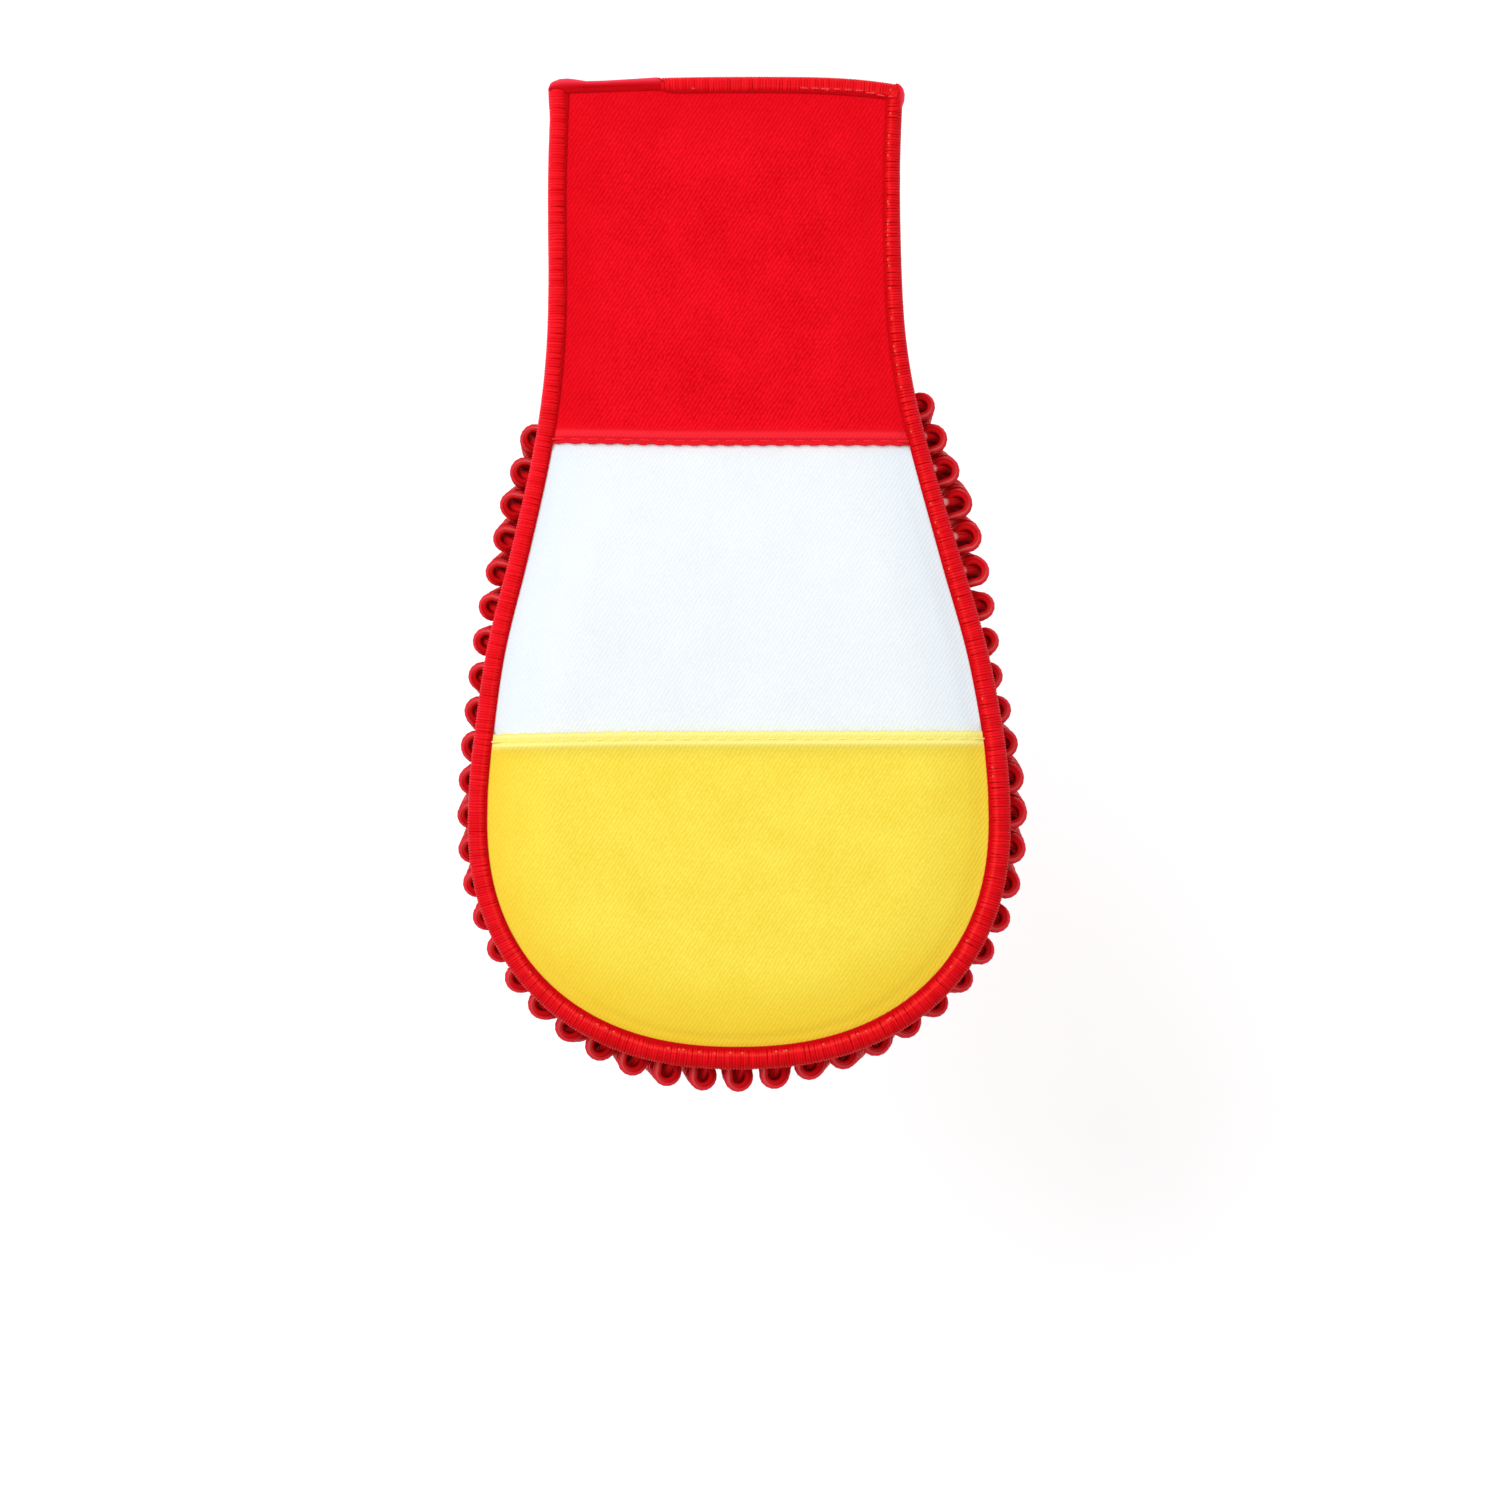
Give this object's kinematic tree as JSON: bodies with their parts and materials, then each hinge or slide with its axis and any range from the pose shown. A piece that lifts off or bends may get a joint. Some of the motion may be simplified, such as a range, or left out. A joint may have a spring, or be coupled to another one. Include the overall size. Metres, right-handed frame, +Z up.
{
  "type": "fringed epaulette",
  "caption": "Flat shoulder epaulette with a strap that widens to an oval end, panelled in red, white and yellow cloth, corded round the edge and hung with a twisted fringe.",
  "frame": {"origin": "on the underside of the board, halfway along its length, where the epaulette sits on the shoulder", "axes": "+X across the strap, +Y along it towards the collar end, +Z up out of the cloth face"},
  "size_m": [0.1075, 0.1854, 0.0679],
  "materials": {
    "backing_cloth": "plain matt cloth",
    "red_cloth": "matt twill",
    "white_cloth": "matt twill",
    "yellow_cloth": "matt twill",
    "binding_thread": "satin stitching",
    "fringe_yarn": "silky twisted yarn"
  },
  "bodies": {
    "root": {"board": "backing_cloth", "red_panel": "red_cloth", "white_panel": "white_cloth", "yellow_panel": "yellow_cloth", "binding": "binding_thread", "fringe": "fringe_yarn"}
  },
  "joints": []
}
